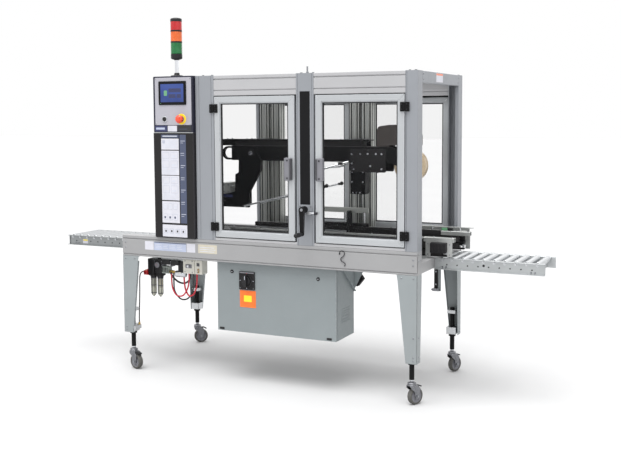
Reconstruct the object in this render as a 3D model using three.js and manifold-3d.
// Carton sealer: an enclosed taping machine on casters with an infeed and an
// exit roller conveyor. Millimetres, +Z up, +X along the carton's travel,
// -Y is the operator's side. The layout coordinates used below start at the
// right outer face of the guard (x = 0), the front face of the guard (y = 0)
// and the floor (z = 0); the finished group is then moved so that its origin
// is the centre of its footprint on the floor.
import * as THREE from 'three';
import { mergeVertices } from 'three/addons/utils/BufferGeometryUtils.js';
import Module from 'manifold-3d';

const wasm = await Module();
wasm.setup();

// ---------------------------------------------------------------- dimensions
const GAP = 0.3;              // running gap between touching pieces
const T = 3;                  // frame sheet thickness

const DEPTH = 870;            // guard and base depth
const BASE_LEFT = -2060;      // left end of the base
const BASE_Z0 = 768;          // underside of the base beams
const BASE_Z1 = 905;          // top of the long base beams
const CROSS_Z1 = 832;         // top of the cross beams, under the carton path
const BEAM_W = 60;            // flange width of the long beams
const CREASE_Z = [798, 883];  // two folded creases along the long beams

const GUARD_LEFT = -1475;     // left outer face of the guard
const GUARD_Z1 = 1938;        // top of the guard
const POST_D = 82;            // post depth
const HEAD_Z0 = 1812;         // underside of the front header band
const SIDE_HEAD_Z0 = 1870;    // underside of the end headers
const SILL_Z1 = 922;          // top of the front sill
const POST_L = [GUARD_LEFT, -1340];
const POST_C = [-766, -650];
const POST_R = [-75, 0];
const DOOR_Z = [928, 1806];
const DOOR_L = [-1335, -778];
const DOOR_R = [-638, -79];
const DOOR_T = 25;            // door frame thickness
const DOOR_OUT = 3;           // how far the door stands proud of the guard
const STILE = 46;             // door frame profile width
const HINGE_Z = [[966, 1020], [1706, 1760]];
const GRIP_Z = [1298, 1432];
const HINGE_Y = -10;          // door hinge axis, in front of the guard face

const LEG_TOP_W = 126;
const LEG_BOTTOM_W = 70;
const LEG_Z0 = 251;
const LEG_FLANGE = 82;
const STEM = { r: 15, x: 44, yF: 40, yR: 830, z0: 142, z1: 430 };
const WHEEL = { r: 50, w: 30, z: 50, trail: 26 };
// direction in which each wheel trails, degrees from +X
const TRAIL = { front_left: -15, front_right: 62, rear_left: 40, rear_right: 66 };

const RAIL_Y = [294, 648];    // outer faces of the conveyor rails
const RAIL_Z = [765, 834];
const RAIL_F = 25;            // flange width of the rails
const ROLL_R = 19;
const ROLL_Z = 820;
const ROLL_PITCH = 63.5;
const EXIT_END = 660;
const INFEED_END = -2773;
const BED_Z = 839;

const MAST = { w: 158, y0: 714, y1: 785, z0: 905.3, z1: 1905 };
const MAST_X = [-1402, -724]; // left edges of the two masts

const CARTON_Y = [322, 620];  // inner faces of the side belts
const HEAD_Y = [405, 537];
const ARM_PIVOT = [-1296, 1441];
const REEL = { x: -206, y: 471, z: 1375, r: 104, core: 38, w: 50 };

const COLUMN = { x0: -1784, x1: -1479, y0: -21, y1: 129, z0: 908, z1: 1581.7 };
const OPBOX = { x0: -1776, x1: -1479, y0: -21, y1: 129, z0: 1582, z1: 1940 };
const ESTOP = { x: -1562, z: 1668 };
const BUTTON = { x: -1690, z: 1668 };
const STACK = { x: -1644, y: 54 };

const ELEC = { x0: -1356, x1: -527, y0: 42, y1: 319, z0: 322, z1: 766 };
const COVER_D = 20;
const SWITCH = { x: -1137, z: 655 };
const CRANK = { x: -706, z: 1126, arm: 146 };

// ------------------------------------------------------------------- helpers
function solid(geometry) {
  const g = geometry.clone();
  for (const k of Object.keys(g.attributes)) if (k !== 'position') g.deleteAttribute(k);
  const m = mergeVertices(g, 1e-4);
  const index = m.index ? m.index.array : Uint32Array.from({ length: m.attributes.position.count }, (_, i) => i);
  return new wasm.Manifold(new wasm.Mesh({
    numProp: 3,
    vertProperties: new Float32Array(m.attributes.position.array),
    triVerts: new Uint32Array(index),
  }));
}
const join = (...list) => list.flat().reduce((a, b) => a.add(b));

function box(x0, x1, y0, y1, z0, z1) {
  const g = new THREE.BoxGeometry(x1 - x0, y1 - y0, z1 - z0);
  g.translate((x0 + x1) / 2, (y0 + y1) / 2, (z0 + z1) / 2);
  return solid(g);
}
function cylinder(axis, r, a0, a1, c1, c2, segments = 20, r2 = r) {
  // axis 'x': c1,c2 = y,z   axis 'y': c1,c2 = x,z   axis 'z': c1,c2 = x,y
  const g = new THREE.CylinderGeometry(r2, r, a1 - a0, segments);
  const mid = (a0 + a1) / 2;
  if (axis === 'x') { g.rotateZ(-Math.PI / 2); g.translate(mid, c1, c2); }
  else if (axis === 'y') { g.translate(c1, mid, c2); }
  else { g.rotateX(Math.PI / 2); g.translate(c1, c2, mid); }
  return solid(g);
}
function shapeOf(points, holes = []) {
  const wound = (list, ccw) => {
    const v = list.map(([a, b]) => new THREE.Vector2(a, b));
    return (THREE.ShapeUtils.area(v) > 0) === ccw ? v : v.reverse();
  };
  const s = new THREE.Shape(wound(points, true));
  for (const h of holes) s.holes.push(new THREE.Path(wound(h, false)));
  return s;
}
const extrude = (points, depth, holes) => new THREE.ExtrudeGeometry(shapeOf(points, holes), { depth, bevelEnabled: false, steps: 1 });
function prismX(points, x0, x1, holes) {      // points are (y, z)
  const g = extrude(points, x1 - x0, holes);
  g.applyMatrix4(new THREE.Matrix4().makeBasis(new THREE.Vector3(0, 1, 0), new THREE.Vector3(0, 0, 1), new THREE.Vector3(1, 0, 0)));
  g.translate(x0, 0, 0);
  return solid(g);
}
function prismY(points, y0, y1, holes) {      // points are (x, z)
  const g = extrude(points, y1 - y0, holes);
  g.applyMatrix4(new THREE.Matrix4().makeBasis(new THREE.Vector3(1, 0, 0), new THREE.Vector3(0, 0, 1), new THREE.Vector3(0, -1, 0)));
  g.translate(0, y1, 0);
  return solid(g);
}
function prismZ(points, z0, z1, holes) {      // points are (x, y)
  const g = extrude(points, z1 - z0, holes);
  g.translate(0, 0, z0);
  return solid(g);
}
const arc = (cx, cy, r, a0, a1, n) => Array.from({ length: n + 1 }, (_, i) => {
  const a = (a0 + (a1 - a0) * i / n) * Math.PI / 180;
  return [cx + r * Math.cos(a), cy + r * Math.sin(a)];
});
function rod(points, r, sides = 8, steps = 24) {
  const curve = new THREE.CatmullRomCurve3(points.map((p) => new THREE.Vector3(...p)), false, 'centripetal');
  const ring = shapeOf(Array.from({ length: sides }, (_, i) => [r * Math.cos(2 * Math.PI * i / sides), r * Math.sin(2 * Math.PI * i / sides)]));
  return new THREE.ExtrudeGeometry(ring, { extrudePath: curve, steps, bevelEnabled: false });
}
const turned = (m, deg) => m.rotate([0, 0, deg]);

const group = new THREE.Group();
function material(color, roughness, metalness) {
  return new THREE.MeshStandardMaterial({ color: new THREE.Color(color), roughness, metalness });
}
const PAINT = material('#b3b9bb', 0.42, 0.25);
const PAINT_LIGHT = material('#c7c9ca', 0.4, 0.25);
const PAINT_BOX = material('#9ea7aa', 0.45, 0.2);
const ALU = material('#cfd1d3', 0.35, 0.8);
const STEEL = material('#b4b7b8', 0.35, 0.9);
const CHROME = material('#c9cbd0', 0.18, 1.0);
const BLACK = material('#232324', 0.5, 0.15);
const DARK = material('#3a3b3a', 0.55, 0.1);
const TREAD = material('#4b4b48', 0.8, 0.0);
const GLASS = material('#eef2f4', 0.08, 0.0);
const TAPE = material('#a98a63', 0.5, 0.0);
const RED = material('#d0311f', 0.4, 0.0);
const HOSE_RED = material('#b3243a', 0.5, 0.0);
const STEEL_DARK = material('#5e5f5d', 0.5, 0.6);

function add(name, shape, mat) {
  let geometry;
  if (shape.isBufferGeometry) geometry = shape;
  else {
    const m = shape.getMesh();
    geometry = new THREE.BufferGeometry();
    geometry.setAttribute('position', new THREE.BufferAttribute(new Float32Array(m.vertProperties), 3));
    geometry.setIndex(new THREE.BufferAttribute(new Uint32Array(m.triVerts), 1));
    geometry.computeVertexNormals();
  }
  const mesh = new THREE.Mesh(geometry, mat);
  mesh.name = name;
  group.add(mesh);
  return mesh;
}
const mirrorY = (pts) => pts.map(([y, z]) => [DEPTH - y, z]).reverse();

// ---------------------------------------------------------------- base frame
// Long beams: open channels with their back outwards and two folded creases.
const beamProfile = [
  [0, BASE_Z0], [BEAM_W, BASE_Z0], [BEAM_W, BASE_Z0 + T], [T + 2, BASE_Z0 + T], [T + 2, BASE_Z1 - T],
  [BEAM_W, BASE_Z1 - T], [BEAM_W, BASE_Z1], [0, BASE_Z1],
  [0, CREASE_Z[1] + 2.5], [2.2, CREASE_Z[1] + 1], [2.2, CREASE_Z[1] - 1], [0, CREASE_Z[1] - 2.5],
  [0, CREASE_Z[0] + 2.5], [2.2, CREASE_Z[0] + 1], [2.2, CREASE_Z[0] - 1], [0, CREASE_Z[0] - 2.5],
];
function crossBeam(xOut, dir) {
  // open channel across the machine, set 0.8 in from the ends of the long beams
  const x = xOut + dir * 0.8, d = dir * T, f = dir * 40;
  const z0 = BASE_Z0 + 0.8, z1 = CROSS_Z1;
  const pts = [[x, z0], [x + f, z0], [x + f, z0 + T], [x + d, z0 + T], [x + d, z1 - T], [x + f, z1 - T], [x + f, z1], [x, z1]];
  return prismY(pts, T, DEPTH - T);
}
const sideCheek = (x0, x1, y0, y1) => box(x0, x1, y0, y1, BASE_Z0 + 0.4, BASE_Z1 - 0.4);
add('base_frame', join(
  prismX(beamProfile, BASE_LEFT, 0),
  prismX(mirrorY(beamProfile), BASE_LEFT, 0),
  crossBeam(BASE_LEFT, 1), crossBeam(0, -1),
  sideCheek(BASE_LEFT + 0.4, BASE_LEFT + T, 4, BEAM_W + 22), sideCheek(-T, -0.4, 4, BEAM_W + 22),
  sideCheek(BASE_LEFT + 0.4, BASE_LEFT + T, DEPTH - BEAM_W - 22, DEPTH - 4), sideCheek(-T, -0.4, DEPTH - BEAM_W - 22, DEPTH - 4),
  box(-1180, -1140, T + 0.5, DEPTH - T - 0.5, BASE_Z0 + 1, BASE_Z0 + T + 1),
  MAST_X.map((x) => box(x - 12, x + MAST.w + 12, 706, DEPTH - 3, BASE_Z1 - 14, BASE_Z1 - 0.4)),
), PAINT);

// ---------------------------------------------------------------------- legs
// Tapered folded angle, a clamp block near its foot and the clamped stem tube.
function leg(name, right, rear) {
  const top = BASE_Z0 - GAP;
  const sx = right ? -1 : 1;               // towards the middle of the machine
  const X = (d) => (right ? -d : BASE_LEFT + d);
  const Y = (d) => (rear ? DEPTH - d : d);
  const bx = (a0, a1, b0, b1, z0, z1) => box(Math.min(X(a0), X(a1)), Math.max(X(a0), X(a1)), Math.min(Y(b0), Y(b1)), Math.max(Y(b0), Y(b1)), z0, z1);
  let plate = [[X(0), top], [X(LEG_TOP_W), top], [X(LEG_BOTTOM_W), LEG_Z0], [X(0), LEG_Z0]];
  if (sx > 0) plate = plate.reverse();
  const y = [Y(0), Y(4)].sort((a, b) => a - b);
  const cy = rear ? STEM.yR : STEM.yF;
  return join(
    prismY(plate, y[0], y[1]),
    bx(0, 4, 0, LEG_FLANGE, LEG_Z0, top),
    bx(0, 60, 0, LEG_FLANGE - 2, top - 4, top),
    bx(3, 66, 3, 64, LEG_Z0 + 9, LEG_Z0 + 48),
    cylinder('z', STEM.r, STEM.z0, STEM.z1, X(STEM.x), cy, 14),
    cylinder('z', STEM.r + 8, LEG_Z0 + 2, LEG_Z0 + 52, X(STEM.x), cy, 14),
  );
}
const LEGS = {
  front_left: [false, false], front_right: [true, false], rear_left: [false, true], rear_right: [true, true],
};
for (const [k, [r, b]] of Object.entries(LEGS)) {
  // the supply hose ends in a coupler held by the front left leg's clamp
  const coupler = [box(BASE_LEFT + 68.5, BASE_LEFT + 86, 2, 72, LEG_Z0 + 19, LEG_Z0 + 44), cylinder('z', 7, LEG_Z0 + 40, LEG_Z0 + 60, BASE_LEFT + 77, 61, 12)];
  add(`leg_${k}`, k === 'front_left' ? join(leg(k, r, b), coupler) : leg(k, r, b), PAINT);
}

// ------------------------------------------------------------------- casters
// Fork with raceway hub, bent cheeks, axle and brake pedal; wheel with hub.
function fork() {
  const z1 = STEM.z0 - GAP, c = WHEEL.trail;
  const cheek = [[-24, 119], [26, 119], [c + 25, 92], [c + 15, 50], ...arc(c, 50, 15, 0, -180, 6).slice(1), [c - 20, 78], [-20, 100]].reverse();
  return join(
    cylinder('z', 26, 118, z1 - 6, 0, 0, 16),
    cylinder('z', 19, z1 - 7, z1, 0, 0, 16),
    prismZ([[-26, -22], [30, -22], [30, 22], [-26, 22]], 114, 119),
    prismY(cheek, -22, -19), prismY(cheek, 19, 22),
    cylinder('y', 5, -25, 25, c, WHEEL.z, 10),
    box(26, 62, -13, 13, 108.5, 112),
    box(20, 34, -13, 13, 108.5, 117),
  );
}
function wheel() {
  const w = WHEEL.w / 2, pts = [
    [5.4, -17], [14, -17], [14, -w + 5], [40, -w], [46, -w], [WHEEL.r, -w + 5],
    [WHEEL.r, w - 5], [46, w], [40, w], [14, w - 5], [14, 17], [5.4, 17], [5.4, -17],
  ].map(([r, z]) => new THREE.Vector2(r, z));
  const g = new THREE.LatheGeometry(pts, 24);   // turned about +Y, the axle's direction
  return solid(g);
}
for (const k of Object.keys(LEGS)) {
  const [right, rear] = LEGS[k];
  const x = right ? -STEM.x : BASE_LEFT + STEM.x, y = rear ? STEM.yR : STEM.yF;
  const place = (m) => turned(m, TRAIL[k]).translate([x, y, 0]);
  add(`caster_fork_${k}`, place(fork()), CHROME);
  add(`caster_wheel_${k}`, place(wheel().translate([WHEEL.trail, 0, WHEEL.z])), TREAD);
}

// --------------------------------------------------------------------- guard
// A welded sheet frame: three posts, the header band and the sill. The front
// one and the rear one are alike; the rear one is turned to face outwards.
function guardFrame() {
  const z0 = BASE_Z1 + GAP, z1 = GUARD_Z1, L = GUARD_LEFT;
  const parts = [
    box(POST_L[0], POST_L[1], 0, T, z0, z1), box(POST_L[0], POST_L[0] + T, 0, POST_D, z0, z1), box(POST_L[1] - T, POST_L[1], 0, 60, SILL_Z1 - 1, HEAD_Z0 + 1),
    box(POST_C[0], POST_C[1], 0, T, z0, z1), box(POST_C[0], POST_C[0] + T, 0, 60, SILL_Z1 - 1, HEAD_Z0 + 1), box(POST_C[1] - T, POST_C[1], 0, 60, SILL_Z1 - 1, HEAD_Z0 + 1),
    box(POST_R[0], POST_R[1], 0, T, z0, z1), box(POST_R[1] - T, POST_R[1], 0, POST_D, z0, z1), box(POST_R[0], POST_R[0] + T, 0, 60, SILL_Z1 - 1, HEAD_Z0 + 1),
    box(L, 0, 0, T, HEAD_Z0, z1), box(L, 0, 0, 60, z1 - T, z1), box(L, 0, 0, 60, HEAD_Z0, HEAD_Z0 + T),
    box(L, 0, 0, T, z0, SILL_Z1), box(L, 0, 0, 60, z0, z0 + T), box(L, 0, 0, 60, SILL_Z1 - T, SILL_Z1),
    box(POST_R[1] - 22, POST_R[1], POST_D - T, POST_D, z0, z1), box(POST_L[0], POST_L[0] + 22, POST_D - T, POST_D, z0, z1),
  ];
  return join(parts);
}
// hinge leaves fixed to the posts and the crank's bearing plate
const hingeLeaf = (x0, x1) => HINGE_Z.map(([a, b]) => box(x0, x1, -12, 1, a, b));
add('front_frame', join(
  guardFrame(), hingeLeaf(POST_L[1] - 26, POST_L[1] - 1), hingeLeaf(POST_R[0] + 1, POST_R[0] + 26),
  box(CRANK.x - 42, CRANK.x + 42, -8, 1, CRANK.z - 20, CRANK.z + 26),
), PAINT);
const rearFrame = guardFrame().mirror([0, 1, 0]).translate([0, DEPTH, 0]);
const hingeLeafRear = (x0, x1) => HINGE_Z.map(([a, b]) => box(x0, x1, DEPTH - 1, DEPTH + 12, a, b));
add('rear_frame', join(rearFrame, hingeLeafRear(POST_L[1] - 26, POST_L[1] - 1), hingeLeafRear(POST_R[0] + 1, POST_R[0] + 26)), PAINT);

function endHeader(xOut, dir) {
  const y0 = POST_D + GAP, y1 = DEPTH - POST_D - GAP;
  const web = dir > 0 ? [xOut, xOut + T] : [xOut - T, xOut];
  const fl = dir > 0 ? [xOut, xOut + 45] : [xOut - 45, xOut];
  return join(box(web[0], web[1], y0, y1, SIDE_HEAD_Z0, GUARD_Z1), box(fl[0], fl[1], y0, y1, GUARD_Z1 - T, GUARD_Z1), box(fl[0], fl[1], y0, y1, SIDE_HEAD_Z0, SIDE_HEAD_Z0 + T));
}
add('header_left', endHeader(GUARD_LEFT, 1), PAINT);
add('header_right', endHeader(0, -1), PAINT);

// --------------------------------------------------------------------- doors
// Aluminium profile frame with a clear pane, hinge knuckles and a pull grip.
function door(x0, x1, hingeLeftSide, rear) {
  const [z0, z1] = DOOR_Z, f = -DOOR_OUT, b = DOOR_T - DOOR_OUT;
  const hole = [[x0 + STILE, z0 + STILE], [x0 + STILE, z1 - STILE], [x1 - STILE, z1 - STILE], [x1 - STILE, z0 + STILE]];
  const frame = prismY([[x0, z0], [x1, z0], [x1, z1], [x0, z1]], f, b, [hole]);
  // groove for the pane
  const groove = box(x0 + STILE - 8, x1 - STILE + 8, 8, 14, z0 + STILE - 8, z1 - STILE + 8);
  const hx = hingeLeftSide ? [x0 + 1, x0 + 24] : [x1 - 24, x1 - 1];
  const knuckle = HINGE_Z.map(([a, c]) => box(hx[0], hx[1], -12, f + 1, a, c));
  const gx = hingeLeftSide ? [x1 - 38, x1 - 14] : [x0 + 14, x0 + 38];
  const grip = [box(gx[0], gx[1], -34, -26, GRIP_Z[0], GRIP_Z[1]), box(gx[0], gx[1], -34, f + 1, GRIP_Z[0], GRIP_Z[0] + 14), box(gx[0], gx[1], -34, f + 1, GRIP_Z[1] - 14, GRIP_Z[1])];
  let d = join(frame.subtract(groove), knuckle, grip);
  let pane = box(x0 + STILE - 7.5, x1 - STILE + 7.5, 8.5, 13.5, z0 + STILE - 7.5, z1 - STILE + 7.5);
  if (rear) { d = d.mirror([0, 1, 0]).translate([0, DEPTH, 0]); pane = pane.mirror([0, 1, 0]).translate([0, DEPTH, 0]); }
  return [d, pane];
}
for (const [k, x, left, rear] of [
  ['front_left', DOOR_L, true, false], ['front_right', DOOR_R, false, false],
  ['rear_left', DOOR_L, true, true], ['rear_right', DOOR_R, false, true],
]) {
  const [d, pane] = door(x[0], x[1], left, rear);
  add(`door_frame_${k}`, d, ALU);
  add(`door_window_${k}`, pane, GLASS);
}

// ------------------------------------------------------- operator's station
{
  const c = COLUMN;
  add('control_column', box(c.x0, c.x1, c.y0, c.y1, c.z0, c.z1).subtract(box(c.x0 + 2, c.x1 - 2, c.y0 + 2, c.y1 - 2, c.z0 - 1, c.z1 - 2)), BLACK);
  const o = OPBOX;
  add('operator_box', box(o.x0, o.x1, o.y0, o.y1, o.z0, o.z1)
    .subtract(box(o.x0 + 2.5, o.x1 - 2.5, o.y0 + 2.5, o.y1 - 2.5, o.z0 + 2.5, o.z1 - 2.5))
    .subtract(cylinder('z', 30, o.z0 - 1, o.z0 + 4, (o.x0 + o.x1) / 2, 60, 20)), BLACK);
  add('emergency_stop', join(
    cylinder('y', 17, -44, -21 - GAP - 8, ESTOP.x, ESTOP.z, 24),
    cylinder('y', 26, -66, -43, ESTOP.x, ESTOP.z, 24),
    cylinder('y', 20, -72, -65, ESTOP.x, ESTOP.z, 24),
  ), RED);
  add('push_button', cylinder('y', 13, -35, -21 - GAP - 4, BUTTON.x, BUTTON.z, 24), BLACK);
}
add('stack_light', join(
  cylinder('z', 40, OPBOX.z1 + GAP, OPBOX.z1 + 12, STACK.x, STACK.y, 20),
  cylinder('z', 13, OPBOX.z1 + 11, 2052, STACK.x, STACK.y, 14),
  cylinder('z', 37, 2050, 2306, STACK.x, STACK.y, 24),
  cylinder('z', 32, 2305, 2313, STACK.x, STACK.y, 24),
), DARK);

// --------------------------------------------------- electrical enclosure
{
  const e = ELEC, y = e.y0 + COVER_D;
  const shell = box(e.x0, e.x1, y + GAP, e.y1, e.z0, e.z1 - GAP).subtract(box(e.x0 + 2, e.x1 - 2, y - 5, e.y1 - 2, e.z0 + 2, e.z1 - 2));
  const gussets = [
    prismX([[110, e.z1 - 1], [e.y1, 590], [e.y1, e.z1 - 1]].reverse(), e.x1 - 1, e.x1 + 3),
    prismY([[e.x1, e.z1 - 1], [e.x1, 590], [e.x1 + 88, e.z1 - 1]], e.y1 - 3, e.y1),
    prismX([[110, e.z1 - 1], [e.y1, 590], [e.y1, e.z1 - 1]].reverse(), e.x0 - 3, e.x0 + 1),
    prismY([[e.x0 - 88, e.z1 - 1], [e.x0, 590], [e.x0, e.z1 - 1]], e.y1 - 3, e.y1),
  ];
  add('electrical_enclosure', join(shell, gussets), PAINT_BOX);
  const cover = box(e.x0, e.x1, e.y0, y, e.z0, e.z1 - 4).subtract(box(e.x0 + 2, e.x1 - 2, e.y0 + 2, y + 1, e.z0 + 2, e.z1 - 6));
  add('electrical_cover', join(cover, box(SWITCH.x - 55, SWITCH.x + 55, e.y0 - 9, e.y0 + 1, SWITCH.z - 57, SWITCH.z + 57)), PAINT_BOX);
  add('disconnect_switch', join(
    cylinder('y', 27, e.y0 - 20, e.y0 - 9 - GAP, SWITCH.x, SWITCH.z, 24),
    box(SWITCH.x - 8, SWITCH.x + 8, e.y0 - 36, e.y0 - 19, SWITCH.z - 36, SWITCH.z + 36),
  ), BLACK);
}

// --------------------------------------------------------------- hand crank
add('hand_crank', join(
  cylinder('y', 20, -46, -8 - GAP, CRANK.x, CRANK.z, 20),
  prismY([...arc(CRANK.x, CRANK.z, 19, 0, 180, 6), ...arc(CRANK.x, CRANK.z - CRANK.arm, 13, 180, 360, 6)], -58, -45),
  cylinder('y', 8, -64, -57, CRANK.x, CRANK.z - CRANK.arm, 12),
  cylinder('y', 11, -142, -63, CRANK.x, CRANK.z - CRANK.arm, 16, 14),
), BLACK);

// ---------------------------------------------------------------- conveyors
function rails(x0, x1) {
  const [z0, z1] = RAIL_Z;
  const chan = [[RAIL_Y[0], z0], [RAIL_Y[0] + RAIL_F + T, z0], [RAIL_Y[0] + RAIL_F + T, z1], [RAIL_Y[0], z1], [RAIL_Y[0], z1 - T], [RAIL_Y[0] + RAIL_F, z1 - T], [RAIL_Y[0] + RAIL_F, z0 + T], [RAIL_Y[0], z0 + T]];
  const far = chan.map(([y, z]) => [RAIL_Y[0] + RAIL_Y[1] - y, z]).reverse();
  return [prismX(chan, x0, x1), prismX(far, x0, x1)];
}
const tie = (x) => box(x - 20, x + 20, RAIL_Y[0] + RAIL_F, RAIL_Y[1] - RAIL_F, RAIL_Z[0] + 1, RAIL_Z[0] + 26);
add('infeed_frame', join(rails(INFEED_END, BASE_LEFT - GAP), tie(INFEED_END + 70), tie(BASE_LEFT - 60)), STEEL);
add('exit_frame', join(rails(GAP, EXIT_END), tie(60), tie(EXIT_END - 70)), STEEL);
{
  const x0 = BASE_LEFT + 41 + GAP, x1 = -41 - GAP, y0 = RAIL_Y[0] + 6, y1 = RAIL_Y[1] - 6, z0 = 775;
  const tray = box(x0, x1, y0, y1, z0, BED_Z).subtract(box(x0 - 1, x1 + 1, y0 + T, y1 - T, z0 - 1, BED_Z - T));
  const slot = box(-902, -558, 431, 511, z0 - 2, BED_Z + 1);
  add('center_bed', join(tray.subtract(slot), box(x0 + 0.6, x0 + T, y0 + 1, y1 - 1, z0 + 0.6, BED_Z - 1), box(x1 - T, x1 - 0.6, y0 + 1, y1 - 1, z0 + 0.6, BED_Z - 1)), STEEL);
  add('bottom_tape_head', join(
    box(-894, -566, 437, 505, 690, 826).subtract(box(-890, -720, 441, 501, 680, 822)),
    cylinder('y', 14, 441, 501, -820, BED_Z - 14.5, 20),
    cylinder('y', 14, 441, 501, -640, BED_Z - 14.5, 20),
    prismY([[-700, 700], [-566, 700], [-520, 640], [-560, 590], [-700, 640]].reverse(), 452, 490),
  ), BLACK);
}
const roller = (x) => join(
  cylinder('y', ROLL_R, RAIL_Y[0] + RAIL_F + T + 5, RAIL_Y[1] - RAIL_F - T - 5, x, ROLL_Z, 16),
  cylinder('y', 6, RAIL_Y[0] + RAIL_F + T + GAP, RAIL_Y[1] - RAIL_F - T - GAP, x, ROLL_Z, 8),
);
for (let i = 0; i < 5; i++) add(`infeed_roller_${i + 1}`, roller(INFEED_END + 32 + ROLL_PITCH * (1 + 2 * i)), STEEL);
for (let i = 0; i < 5; i++) add(`exit_roller_${i + 1}`, roller(44 + ROLL_PITCH * (1 + 2 * i)), STEEL);

// -------------------------------------------------------------------- masts
// Two extruded columns on a foot plate with a cap plate and a guide screw.
function mast(x) {
  const { w, y0, y1, z0, z1 } = MAST;
  const col = (a) => prismZ([[a, y0], [a + 26, y0], [a + 26, y0 + 8], [a + 40, y0 + 8], [a + 40, y0], [a + 66, y0], [a + 66, y1], [a, y1]], z0 + 8, z1 - 8);
  return join(box(x - 8, x + w + 8, y0 - 4, y1, z0, z0 + 10), col(x), col(x + w - 66), box(x, x + w, y0, y1, z1 - 10, z1), cylinder('z', 10, z0 + 8, z1 - 8, x + w / 2, y0 + 36, 12));
}
// the masts stand on a shelf fixed inside the rear beam
add('mast_left', join(mast(MAST_X[0]), box(MAST_X[0] + 20, MAST_X[0] + MAST.w - 20, MAST.y1 - 20, DEPTH - 62, 1790, 1808)), STEEL_DARK);
add('mast_right', join(mast(MAST_X[1]), box(MAST_X[1] + 20, MAST_X[1] + MAST.w - 20, MAST.y1 - 20, DEPTH - 62, 1790, 1808)), STEEL_DARK);

// ------------------------------------------------------------ top tape head
{
  const [y0, y1] = HEAD_Y, my = (y0 + y1) / 2;
  const carriage = (x) => [
    box(x + 58, x + MAST.w - 58, y1 - 40, MAST.y0 - 6, 1500, 1532),
    box(x + 4, x + MAST.w - 4, MAST.y0 - 14, MAST.y0 - 1, 1380, 1530),
  ];
  const loop = prismY([[-1440, 1392], ...arc(-1512, 1438, 46, 270, 90, 8).map(([x, z]) => [x, z]), [-1440, 1484]].reverse(), my - 13, my + 13,
    [[[-1454, 1406], [-1454, 1472], ...arc(-1512, 1438, 33, 90, 270, 6)].reverse()]);
  const hood = prismY([[-330, 1478], [-411, 1478], [-411, 1596], [-404, 1612], [-392, 1619], [-330, 1627], [-262, 1627], [-196, 1612], [-160, 1586], [-150, 1560], [-150, 1500], [-330, 1500]].reverse(), y0 + 8, y1 - 8)
    .subtract(box(-404, -158, y0 + 11, y1 - 11, 1470, 1575));
  const reelPlates = [
    prismY([[-340, 1392], [-196, 1352], [-180, 1375], [-196, 1398], [-300, 1490], [-340, 1490]], y0, y0 + 6),
    prismY([[-340, 1392], [-196, 1352], [-180, 1375], [-196, 1398], [-300, 1490], [-340, 1490]], y1 - 6, y1),
    cylinder('y', 12, y0 + 1, y1 - 1, REEL.x, REEL.z, 16),
  ];
  const side = (y) => [
    solid(rod([[-1330, y, 1091], [-1030, y, 1166.5], [-730, y, 1242]], 6, 8, 1)),
    solid(new THREE.IcosahedronGeometry(13, 1).translate(-728, y, 1242)),
    solid(rod([[-900, y, 1199], [-900, y, 1330], [-896, y + (my - y) * 0.4, 1385], [-890, my + (y - my) * 0.5, 1398]], 7, 6, 7)),
    solid(rod([[-905, y, 1331], [-815, y, 1345], [-740, y, 1352], [-640, y + (my - y) * 0.3, 1384], [-580, y + (my - y) * 0.62, 1400]], 6, 6, 8)),
  ];
  const beam = box(-1453, -330, y0, y1, 1392, 1490).subtract(box(-1449, -345, y0 + 4, y1 - 4, 1380, 1486));
  const bracket = box(-588, -486, y0 - 2, y0 + 70, 1190, 1393).subtract(box(-584, -490, y0 + 2, y0 + 66, 1180, 1389));
  add('top_head', join(
    beam, box(-1540, -470, y0 + 20, y1 - 20, 1489, 1533), loop, hood, reelPlates,
    box(-590, -345, y0 - 8, y0 + 1, 1330, 1476), box(-590, -345, y1 - 1, y1 + 8, 1330, 1476),
    bracket,
    carriage(MAST_X[0]), carriage(MAST_X[1]),
    cylinder('y', 11, y0 - 26, y1 + 26, ARM_PIVOT[0], ARM_PIVOT[1], 16),
    side(352), side(590),
  ), BLACK);

  const p = [...arc(...ARM_PIVOT, 50, 0, 180, 10), [-1391, 1400], [-1393, 1310], [-1418, 1300], [-1422, 1180], [-1500, 1165], [-1536, 1165], [-1536, 1078], [-1312, 1078], [-1312, 1180], [-1230, 1316], [-1222, 1400]];
  const bore = arc(ARM_PIVOT[0], ARM_PIVOT[1], 12, 0, 360, 16).slice(0, 16);
  // the rear plate is slimmer than the front one
  const q = [...arc(...ARM_PIVOT, 50, 0, 180, 10), [-1391, 1400], [-1393, 1310], [-1418, 1300], [-1422, 1180], [-1500, 1165], [-1536, 1165], [-1536, 1078], [-1382, 1078], [-1382, 1180], [-1302, 1316], [-1292, 1392], [-1246, 1424]];
  add('folder_arm', join(
    prismY(p, y0 - 14, y0 - GAP, [bore.slice().reverse()]), prismY(q, y1 + GAP, y1 + 14, [bore.slice().reverse()]),
    box(-1530, -1386, y0 - 14, y1 + 14, 1078, 1164).subtract(box(-1526, -1390, y0 - 9, y1 + 9, 1070, 1160)),
    box(-1532, -1474, y0 + 10, y1 - 10, 1163, 1240),
  ), BLACK);
  add('tape_reel', solid(new THREE.LatheGeometry([
    [12.5, -REEL.w / 2 - 4], [REEL.core, -REEL.w / 2 - 4], [REEL.core, -REEL.w / 2], [REEL.r, -REEL.w / 2],
    [REEL.r, REEL.w / 2], [REEL.core, REEL.w / 2], [REEL.core, REEL.w / 2 + 4], [12.5, REEL.w / 2 + 4], [12.5, -REEL.w / 2 - 4],
  ].map(([r, z]) => new THREE.Vector2(r, z)), 32).translate(REEL.x, REEL.y, REEL.z)), TAPE);
}

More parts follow.
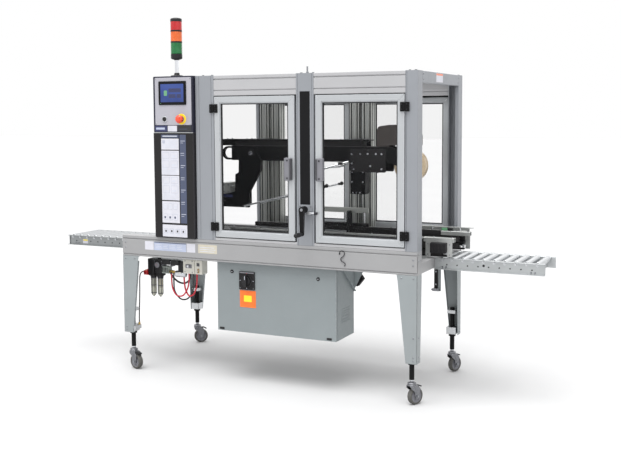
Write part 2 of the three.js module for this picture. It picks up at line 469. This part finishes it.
// -------------------------------------------------------------- side drives
// Each carries a belt loop, its end pulleys, a top guide plate and a gearmotor.
function sideDrive() {
  const y = CARTON_Y[0];                    // inner face of the belt
  const loop = (z0, z1) => prismZ([...arc(-690, y - 20, 20, 90, 270, 8), ...arc(40, y - 20, 20, 270, 450, 8)], z0, z1);
  return join(
    loop(852, 882), loop(892, 924),
    box(-1400, 90, y - 36, y - 6, 844, 854), box(-1400, 90, y - 36, y - 6, 880, 894),
    box(-1400, -700, y - 36, y - 30, 844, 938),
    box(-1400, 130, y - 38, y - 2, 930, 958), box(-690, 40, y - 34, y - 6, 922, 932),
    box(-60, 78, y - 40, y - 6, 924, 932),
  );
}
{
  const front = sideDrive();
  const rear = front.mirror([0, 1, 0]).translate([0, CARTON_Y[0] + CARTON_Y[1], 0]);
  add('side_drive_front', front, DARK);
  add('side_drive_rear', rear, DARK);
}

// ----------------------------------------------------------------- air unit
// Filter, regulator, shut-off, dump valve and manifold under the left bay.
add('air_unit', join(
  box(-1950, -1840, 118, 186, 620, 735), box(-1842, -1700, 118, 186, 680, 735), box(-1712, -1660, 128, 182, 655, 730), box(-1668, -1520, 122, 190, 652, 748),
  box(-1900, -1560, 140, 170, 730, 764),
  cylinder('z', 19, 476, 630, -1922, 150, 16), cylinder('z', 19, 476, 630, -1868, 150, 16),
  cylinder('x', 15, -1990, -1945, 150, 640, 14),
  box(-1842, -1790, 128, 176, 640, 690), cylinder('x', 10, -1795, -1755, 152, 652, 12),
  cylinder('x', 22, -1745, -1665, 150, 642, 16), box(-1712, -1690, 130, 170, 640, 660),
), BLACK);
// free air hoses between the fittings, and the supply tail down to its coupler
const HOSES = {
  air_hose_red: [5, [[-1640, 150, 651.7], [-1640, 150, 610], [-1650, 146, 550], [-1684, 140, 500], [-1728, 138, 497], [-1764, 142, 540], [-1775, 146, 600], [-1775, 146, 641.7]], 26],
  air_hose_black: [5, [[-1610, 160, 651.7], [-1610, 160, 600], [-1622, 162, 530], [-1664, 164, 476], [-1716, 164, 470], [-1762, 162, 520], [-1767, 160, 580], [-1766, 158, 641.7]], 26],
  air_supply_hose: [4, [[-1990.8, 150, 640], [-2002, 150, 640], [-2024.6, 150, 630.6], [-2034, 148, 608], [-2031, 140, 570], [-2016, 118, 516], [-1997, 88, 450], [-1986, 68, 395], [-1983, 62, 350], [-1983, 61, 311.5]], 34],
};
for (const [name, [r, points, steps]] of Object.entries(HOSES)) add(name, rod(points, r, 8, steps), name === 'air_hose_red' ? HOSE_RED : BLACK);

// ------------------------------------------------------- origin on the floor
const bounds = new THREE.Box3().setFromObject(group);
const root = new THREE.Group();
group.position.set(-(bounds.min.x + bounds.max.x) / 2, -(bounds.min.y + bounds.max.y) / 2, 0);
root.add(group);
root.updateMatrixWorld(true);
export default root;
